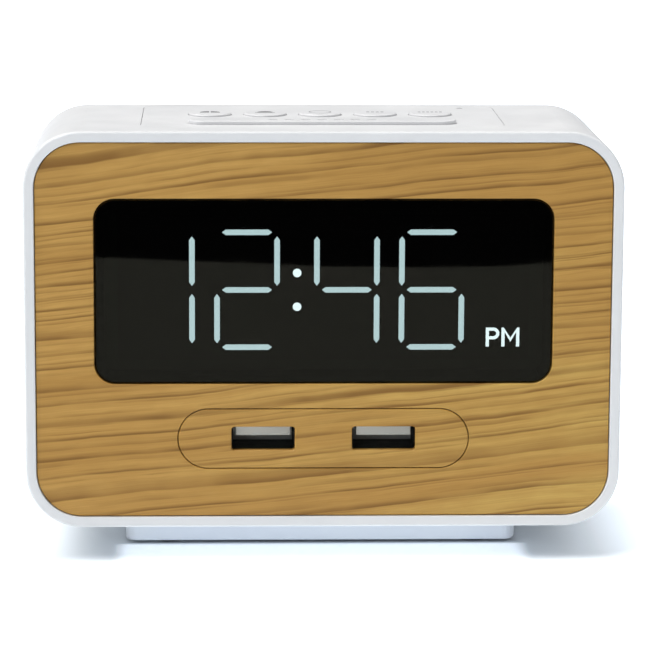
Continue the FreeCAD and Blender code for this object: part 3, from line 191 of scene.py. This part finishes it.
def veneer():
    """Honey-coloured wood: dark growth lines that rise to the right, fibres and pores."""
    paint = Paint("veneer", Coat_Weight=0.06, Coat_Roughness=0.35, Specular_IOR_Level=0.35)
    parts = paint.node("SeparateXYZ", paint.place)
    x, z = parts.outputs["X"], parts.outputs["Z"]
    swell = paint.noise(1.0, 1.0, 0.4, paint.stretched(paint.place, (0.013, 0.0, 0.022)))
    ripple = paint.noise(1.0, 2.0, 0.5, paint.stretched(paint.place, (0.06, 0.0, 0.10)))
    level = paint.math("MULTIPLY_ADD", x, -GRAIN_RISE, z)
    level = paint.math("MULTIPLY_ADD", swell, 7.0, level)
    level = paint.math("MULTIPLY_ADD", ripple, 1.1, level)
    along = paint.node("CombineXYZ", x, 0.0, level).outputs[0]

    # Growth lines: one for each whole turn of the phase
    spread = paint.noise(1.0, 1.0, 0.5, paint.stretched(along, (0.0, 1.0, 0.14)))
    phase = paint.math("MULTIPLY", level, -LINES_PER_MM)
    phase = paint.math("MULTIPLY_ADD", spread, 2.6, phase)
    phase = paint.math("SUBTRACT", phase, paint.fit(z, CLOSE_LOW, CLOSE_HIGH, 0.0, CLOSE_EXTRA))
    bold = growth_lines(paint, x, phase, 0.50, 0.5)
    faint = growth_lines(paint, x, paint.math("MULTIPLY_ADD", phase, 2.3, 0.37), 0.35, 0.1)

    broad = paint.streaks((0.008, 1.0, 0.09), 1.0, along)
    mottle = paint.streaks((0.16, 1.0, 0.5), 3.0, along)
    fibres = paint.streaks((0.03, 1.0, 0.9), 3.0, along)
    fine = paint.streaks((0.10, 1.0, 3.6), 3.0, along)
    pores = paint.streaks((0.35, 1.0, 8.0), 1.0, along)
    line = paint.math("MAXIMUM", bold, paint.math("MULTIPLY", faint, 0.5))
    # The wood is paler towards the right and the bottom.
    paler_to_lower_right = paint.fit(paint.math("MULTIPLY_ADD", z, -0.55, x), -60.0, 40.0)
    pale = paint.mix(paler_to_lower_right, rgb(*WOOD_LIGHT), rgb(*WOOD_PALE))
    colour = paint.mix(paint.fit(broad, 0.35, 0.65, 0.0, 1.0), rgb(*WOOD_DEEP), pale)
    colour = paint.mix(paint.fit(mottle, 0.35, 0.65, 0.22, 0.0), colour, rgb(*WOOD_FIBRE))
    colour = paint.mix(paint.fit(fibres, 0.32, 0.68, 0.4, 0.0), colour, rgb(*WOOD_FIBRE))
    colour = paint.mix(paint.math("MULTIPLY", line, 0.9), colour, rgb(*WOOD_LINE))
    colour = paint.mix(paint.fit(fine, 0.35, 0.65, 0.14, 0.0), colour, rgb(*WOOD_LINE))
    colour = paint.mix(paint.fit(pores, 0.68, 0.76, 0.0, 0.25), colour, rgb(*WOOD_LINE))
    relief = paint.math("MULTIPLY_ADD", fibres, 0.6, fine)
    relief = paint.math("SUBTRACT", relief, line)
    gloss = paint.math("MULTIPLY_ADD", line, 0.08, paint.fit(fibres, 0.3, 0.7, 0.5, 0.4))
    return paint.set(
        Base_Color=colour, Roughness=gloss, Normal=paint.bump(relief, 0.02 * MM, 0.5)
    ).material


def smoked():
    """Glossy smoked acrylic with faint wipe marks."""
    paint = Paint("smoked_acrylic", Transmission_Weight=1.0, IOR=1.49, Specular_IOR_Level=0.12)
    haze = paint.noise(0.08, 4, 0.6)
    wipes = paint.streaks((0.05, 1.0, 0.8), 3)
    film = paint.math("MULTIPLY_ADD", wipes, 0.3, haze)
    return paint.set(
        Base_Color=paint.mix(haze, rgb(0.072, 0.072, 0.070), rgb(0.080, 0.080, 0.079)),
        Roughness=paint.fit(film, 0.4, 0.9, 0.012, 0.03),
        Normal=paint.bump(paint.noise(0.03, 1.0), 0.01 * MM, 0.3),
    ).material


def lit(name, colour, strength):
    """Milky diffuser with an LED behind it."""
    paint = Paint(name, Emission_Color=rgb(*colour), Emission_Strength=strength)
    cloud = paint.noise(0.8, 3)
    return paint.set(
        Base_Color=paint.mix(cloud, rgb(0.62, 0.7, 0.72), rgb(0.75, 0.8, 0.82)),
        Roughness=paint.fit(cloud, 0.3, 0.7, 0.35, 0.5),
    ).material


def laminate():
    """Green solder mask over copper tracks, with a woven glass texture."""
    paint = Paint("solder_mask", Coat_Weight=0.2, Coat_Roughness=0.15)
    tracks = paint.node("TexBrick", paint.stretched(paint.place, (0.35, 0.35, 0.35)))
    tracks.inputs["Mortar Size"].default_value = 0.03
    weave = paint.noise(3.0, 2)
    blotch = paint.noise(0.08, 3)
    mask = paint.mix(blotch, rgb(0.01, 0.09, 0.035), rgb(0.02, 0.14, 0.055))
    return paint.set(
        Base_Color=paint.mix(tracks.outputs["Fac"], mask, rgb(0.04, 0.22, 0.08)),
        Roughness=paint.fit(weave, 0.3, 0.7, 0.3, 0.42),
        Normal=paint.bump(paint.math("ADD", weave, tracks.outputs["Fac"]), 0.02 * MM, 0.4),
    ).material


WHITE = (0.72, 0.72, 0.725)
WHITE_SHADE = (0.70, 0.702, 0.71)
finishes = {
    "shell": moulded("white_shell", WHITE, WHITE_SHADE),
    "key": moulded("white_key", (0.73, 0.73, 0.735), (0.71, 0.71, 0.72), (0.28, 0.38), 8.0, 0.002),
    "wood": veneer(),
    "window": smoked(),
    "display_black": moulded(
        "display_black", (0.0035, 0.0035, 0.004), (0.002, 0.002, 0.002), (0.5, 0.7)
    ),
    # The foot's white is paler and bluer than the shell's: painted fill light for the foot under the
    # overhang.
    "foot": moulded("foot_white_painted_fill", (0.80, 0.83, 0.87), (0.77, 0.80, 0.85)),
    "black": moulded("black_plastic", (0.012, 0.012, 0.013), (0.008, 0.008, 0.009), (0.4, 0.6)),
    "socket": moulded("socket_plastic", (0.50, 0.50, 0.46), (0.44, 0.44, 0.40), (0.3, 0.45)),
    "ivory": moulded("ivory_plastic", (0.66, 0.62, 0.52), (0.6, 0.56, 0.46)),
    "rubber": moulded("rubber", (0.05, 0.05, 0.052), (0.035, 0.035, 0.037), (0.65, 0.85), 4.0, 0.02),
    "chip": moulded("epoxy", (0.018, 0.018, 0.02), (0.012, 0.012, 0.013), (0.45, 0.6), 10.0, 0.01),
    "ferrite": moulded("ferrite", (0.05, 0.05, 0.055), (0.03, 0.03, 0.034), (0.5, 0.7), 5.0, 0.02),
    "paper": moulded("pressed_paper", (0.03, 0.03, 0.031), (0.02, 0.02, 0.021), (0.7, 0.9), 2.5, 0.05),
    "insulation": moulded("wire_insulation", (0.45, 0.03, 0.025), (0.36, 0.02, 0.02), (0.35, 0.5)),
    "ribbon": moulded("flat_cable", (0.7, 0.7, 0.68), (0.6, 0.6, 0.58), (0.3, 0.45), 3.0),
    "dark_diffuser": moulded("dark_diffuser", (0.014, 0.015, 0.016), (0.01, 0.011, 0.012)),
    "plated": metal("plated_steel", (0.66, 0.65, 0.63)),
    "can": metal("aluminium_can", (0.75, 0.75, 0.77), (0.3, 0.45), (4.0, 4.0, 0.3)),
    "gold": metal("gold_contact", (0.85, 0.62, 0.28), (0.2, 0.35)),
    "zinc": metal("zinc_steel", (0.5, 0.5, 0.51), (0.3, 0.5)),
    "black_zinc": metal("black_zinc_steel", (0.10, 0.10, 0.105), (0.35, 0.5)),
    # The USB shells' steel is near black: painted shade inside the sockets, not a finish.
    "painted_shade_steel": metal("usb_steel_painted_shade", (0.022, 0.022, 0.023), (0.4, 0.55)),
    "board": laminate(),
    "lit": lit("lit_segment", (0.70, 0.96, 1.0), 8.6),
    "lit_dots": lit("lit_dot", (0.80, 0.97, 1.0), 14.0),
    "led": lit("led_chip", (0.6, 0.8, 0.9), 0.4),
}

NODES_BY_FINISH = {
    "shell": "sleeve top_panel rear_cover",
    "foot": "base_foot battery_door",
    "display_black": "front_carrier display_housing",
    "key": "snooze_bar dimmer_button alarm_button radio_button hour_button minute_button",
    "wood": "wood_front usb_plate",
    "window": "display_window",
    "black": "dc_jack slide_switch dimmer_slider battery_holder key_switches",
    "socket": "usb_tongues",
    "ivory": "ribbon_ports snooze_plungers dimmer_plunger alarm_plunger radio_plunger"
    " hour_plunger minute_plunger",
    "rubber": "rubber_feet",
    "chip": "control_chips power_chips",
    "ferrite": "power_inductor speaker_magnet",
    "paper": "speaker_cone",
    "insulation": "battery_leads speaker_leads",
    "ribbon": "ribbon_cables",
    "dark_diffuser": "segments_unlit",
    "plated": "backup_cell board_standoffs dc_jack_pin speaker_basket",
    # painted shade: near-black steel inside the USB sockets
    "painted_shade_steel": "usb_shells",
    "can": "control_capacitors power_capacitors",
    "gold": "battery_contacts usb_contacts",
    "zinc": "speaker_screws foot_screws board_screws",
    "black_zinc": "rear_screws",
    "board": "display_board control_board power_board button_board",
    "lit": "segments_lit",
    "lit_dots": "colon_dots pm_legend",
    "led": "led_chips",
}

for finish, names in NODES_BY_FINISH.items():
    for name in names.split():
        node = nodes[name]
        for slot in node.material_slots:
            slot.material = finishes[finish]


# ---------------------------------------------------------------- printed icons


def centre(name):
    low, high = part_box(name)
    return (Vector(low) + Vector(high)) / 2


INK_THICK = 0.04 * MM
INK_PROUD = 0.03 * MM


def outline_piece(name, shapes, top, body):
    """Flat printed shapes, each a list of (x, y) corners, as one thin piece under top."""
    mesh = bmesh.new()
    for corners in shapes:
        face = mesh.faces.new([mesh.verts.new((x, y, top)) for x, y in corners])
        grown = bmesh.ops.extrude_face_region(mesh, geom=[face])
        moved = [part for part in grown["geom"] if isinstance(part, bmesh.types.BMVert)]
        bmesh.ops.translate(mesh, verts=moved, vec=(0, 0, -INK_THICK))
    bmesh.ops.recalc_face_normals(mesh, faces=mesh.faces)
    data = bpy.data.meshes.new(name)
    mesh.to_mesh(data)
    mesh.free()
    piece = bpy.data.objects.new(name, data)
    bpy.context.scene.collection.objects.link(piece)
    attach(piece, body)
    return piece


def arc(cx, cy, radius, start, end, steps=24):
    angles = [start + (end - start) * step / steps for step in range(steps + 1)]
    return [(cx + radius * math.cos(a), cy + radius * math.sin(a)) for a in angles]


def bar(cx, cy, width, height):
    return [
        (cx - width / 2, cy - height / 2),
        (cx + width / 2, cy - height / 2),
        (cx + width / 2, cy + height / 2),
        (cx - width / 2, cy + height / 2),
    ]


def ring(cx, cy, radius, width, parts=4):
    """A ring as a few curved bars, so that each is a simple polygon."""
    shapes = []
    for part in range(parts):
        start = 2 * math.pi * part / parts
        end = 2 * math.pi * (part + 1) / parts
        outer = arc(cx, cy, radius, start, end, 12)
        inner = arc(cx, cy, radius - width, end, start, 12)
        shapes.append(outer + inner)
    return shapes


def dimmer_icon(x, y):
    """A half-risen sun, split down the middle."""
    wide, tall, slit = 1.95 * MM, 2.5 * MM, 0.16 * MM
    halves = []
    for side in (-1, 1):
        curve = arc(0, 0, 1.0, 0, math.pi / 2)
        outer = [(x + side * (slit + wide * a), y - tall / 2 + tall * b) for a, b in curve]
        halves.append([*outer, (x + side * slit, y - tall / 2)])
    return halves


def alarm_icon(x, y):
    """A bell: a dome over a straight rim."""
    wide, tall, rim = 1.6 * MM, 2.6 * MM, 0.5 * MM
    foot = y - tall / 2
    curve = arc(0, 0, 1.0, 0, math.pi)
    dome = [(x + wide * a, foot + rim + (tall - rim) * b) for a, b in curve]
    return [dome, bar(x, foot + rim / 3, 2.6 * wide, rim / 1.5)]


def row_icon(x, y, count, width):
    pitch = width / count
    start = x - width / 2 + pitch / 2
    return [bar(start + place * pitch, y, pitch * 0.62, 0.95 * MM) for place in range(count)]


def printed(name, dark, light):
    """Pad-printed ink, a little uneven."""
    paint = Paint(name)
    cloud = paint.noise(2.0, 3)
    return paint.set(
        Base_Color=paint.mix(cloud, rgb(*dark), rgb(*light)),
        Roughness=paint.fit(cloud, 0.3, 0.7, 0.45, 0.6),
    ).material


finishes["ink"] = printed("pad_print", (0.20, 0.20, 0.205), (0.25, 0.25, 0.255))
finishes["pale_ink"] = printed("pale_pad_print", (0.30, 0.30, 0.31), (0.36, 0.36, 0.37))

ICON_SHIFT = 1.1 * MM  # the marks sit a little behind the middle of the keys
ICONS = (
    ("dimmer", dimmer_icon, "ink"),
    ("alarm", alarm_icon, "ink"),
    ("radio", lambda x, y: ring(x, y, 2.4 * MM, 0.26 * MM), "pale_ink"),
    ("hour", lambda x, y: row_icon(x, y, 4, 4.0 * MM), "pale_ink"),
    ("minute", lambda x, y: row_icon(x, y, 6, 5.4 * MM), "pale_ink"),
)
for key, shapes, finish in ICONS:
    cap = centre(f"{key}_button")
    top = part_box(f"{key}_button")[1][2] + INK_PROUD
    icon = outline_piece(f"{key}_icon", shapes(cap.x, cap.y + ICON_SHIFT), top, f"{key}_key")
    icon.data.materials.append(finishes[finish])


# ---------------------------------------------------------------- studio


def flat_piece(name, corners, height):
    mesh = bpy.data.meshes.new(name)
    mesh.from_pydata([(x, y, height) for x, y in corners], [], [range(len(corners))])
    piece = bpy.data.objects.new(name, mesh)
    bpy.context.scene.collection.objects.link(piece)
    return piece


TABLE_GLOW = 0.19  # the floor glows, except right under the clock: the missing glow paints its shadow darker there
SIDE_GLOW = 0.62  # and more strongly beside it: painted light that whitens the clock's shadow there
FOOT_GLOW = 0.50  # and just in front of the foot: painted light on the floor, which also lights the foot
REACH = 6  # half the width of the floor, in metres
corners = [(-REACH, -REACH), (REACH, -REACH), (REACH, REACH), (-REACH, REACH)]
floor = flat_piece("floor", corners, 0.0)

# Where the floor glows, in millimetres from the middle of the clock. The glow is shaped around the
# clock to paint its shadow
half_width = cad_box[1][0] / MM
half_depth = cad_box[1][1] / MM
foot_low, foot_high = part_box("base_foot")
foot_half = foot_high[0] / MM
foot_front = foot_low[1] / MM
ground = Paint("floor_glow_painted_shadow", Emission_Color=rgb(0.85, 0.95, 1.07))
fleck = ground.noise(0.02, 3)
table_x, table_y, _ = ground.node("SeparateXYZ", ground.place).outputs
out = ground.math("ABSOLUTE", table_x)
beside = ground.fit(out, half_width - 13, half_width + 5)
before = ground.fit(table_y, -half_depth - 4, -half_depth + 8, 1.0, 0.0)
behind = ground.fit(table_y, half_depth - 8, half_depth + 12)
# Outside the clock's footprint the floor glows; under it, the missing glow is a painted shadow
outside_painted_shadow = ground.math("MAXIMUM", ground.math("MAXIMUM", beside, before), behind)
near_foot = ground.fit(table_y, foot_front - 1.5, foot_front + 0.5, 1.0, 0.0)
foot_wide = ground.fit(out, foot_half - 1, foot_half + 3, 1.0, 0.0)
by_foot = ground.math("MULTIPLY", near_foot, foot_wide)
up_to_foot = ground.fit(table_y, -half_depth - 12, -half_depth)
by_foot = ground.math("MULTIPLY", by_foot, up_to_foot)
past_side = ground.fit(out, half_width - 5, half_width + 17)
not_far_front = ground.fit(table_y, -half_depth - 32, -half_depth - 2)
by_side = ground.math("MULTIPLY", past_side, not_far_front)
glow = ground.math("MULTIPLY", outside_painted_shadow, TABLE_GLOW)
glow = ground.math("MULTIPLY_ADD", by_foot, FOOT_GLOW, glow)
glow = ground.math("MULTIPLY_ADD", by_side, SIDE_GLOW, glow)
ground.set(
    Base_Color=ground.mix(fleck, rgb(0.85, 0.89, 0.92), rgb(0.87, 0.91, 0.94)),
    Roughness=ground.fit(fleck, 0.3, 0.7, 0.8, 0.9),
    Emission_Strength=glow,
)
floor.data.materials.append(ground.material)


def card(name, corners, shade):
    """A card on the table in front of the clock, which shows only in reflections: a painted
    reflection.
    """
    piece = flat_piece(name, corners, 0.001)
    cloth = Paint(name + "_cloth", Specular_IOR_Level=0.0)
    nap = cloth.noise(0.5, 3)
    dark = tuple(channel * 0.9 for channel in shade)
    cloth.set(
        Base_Color=cloth.mix(nap, rgb(*dark), rgb(*shade)),
        Roughness=cloth.fit(nap, 0.3, 0.7, 0.9, 1.0),
    )
    piece.data.materials.append(cloth.material)
    piece.visible_camera = False
    piece.visible_diffuse = False
    piece.visible_shadow = False


# The window mirrors the table: a grey card darkens its lower part, a black one the upper part, a
# painted reflection. The line between them bends along the listed points
card_edge = [
    (-1.6, -0.44), (-0.057, -0.419), (-0.036, -0.4135), (0.015, -0.4005),
    (0.045, -0.3985), (0.07, -0.4005), (0.085, -0.408), (1.6, -0.43),
]
card("black_card", [(1.6, -3.0), (-1.6, -3.0), *card_edge], (0.012, 0.012, 0.012))
card("grey_card", [*reversed(card_edge), (-1.6, -0.08), (1.6, -0.08)], (0.27, 0.27, 0.22))

world = bpy.data.worlds.new("studio")
world.use_nodes = True
world.node_tree.nodes["Background"].inputs["Color"].default_value = (0.95, 0.98, 1.03, 1.0)
world.node_tree.nodes["Background"].inputs["Strength"].default_value = 0.30
bpy.context.scene.world = world


def soft_light(name, towards, strength, spread, colour):
    """A large far light: `towards` points at it, `spread` is how many degrees wide it looks."""
    data = bpy.data.lights.new(name, "SUN")
    data.energy = strength
    data.angle = math.radians(spread)
    data.color = colour
    light = bpy.data.objects.new(name, data)
    light.rotation_mode = "QUATERNION"
    light.rotation_quaternion = Vector(towards).to_track_quat("Z", "Y")
    bpy.context.scene.collection.objects.link(light)


soft_light("key", (-0.46, -0.15, 0.88), 3.05, 48, (1.0, 0.99, 0.97))
soft_light("side", (0.42, 0.25, 0.87), 0.85, 60, (1.0, 0.99, 0.97))
soft_light("fill", (-0.50, -0.86, 0.10), 0.16, 24, (0.86, 0.97, 1.12))

scene = bpy.context.scene
scene.view_settings.view_transform = "Standard"
scene.view_settings.look = "None"

# ---------------------------------------------------------------- camera

sleeve_low, sleeve_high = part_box("sleeve")
front_centre = Vector((0, sleeve_low[1], (sleeve_low[2] + sleeve_high[2]) / 2))
# From 650 mm in front, a little above and to the left, looking slightly down and to the right
EYE = front_centre + Vector((-22.1, -650.0, 118.5)) * MM
PITCH = math.radians(-10.17)
YAW = math.radians(1.92)
ROLL = math.radians(0.25)
LENS = 181.1
SENSOR_WIDTH = 36.0

forward = Vector(
    (math.sin(YAW) * math.cos(PITCH), math.cos(YAW) * math.cos(PITCH), math.sin(PITCH))
)
level_right = Vector((math.cos(YAW), -math.sin(YAW), 0))
level_up = level_right.cross(forward)
right = level_right * math.cos(ROLL) + level_up * math.sin(ROLL)
up = right.cross(forward)
camera_data = bpy.data.cameras.new("camera")
camera_data.lens = LENS
camera_data.sensor_width = SENSOR_WIDTH
camera_data.clip_start = 0.01
camera_data.clip_end = 100
camera = bpy.data.objects.new("camera", camera_data)
camera.matrix_world = Matrix.Translation(EYE) @ Matrix((right, up, -forward)).transposed().to_4x4()
scene.collection.objects.link(camera)
scene.camera = camera
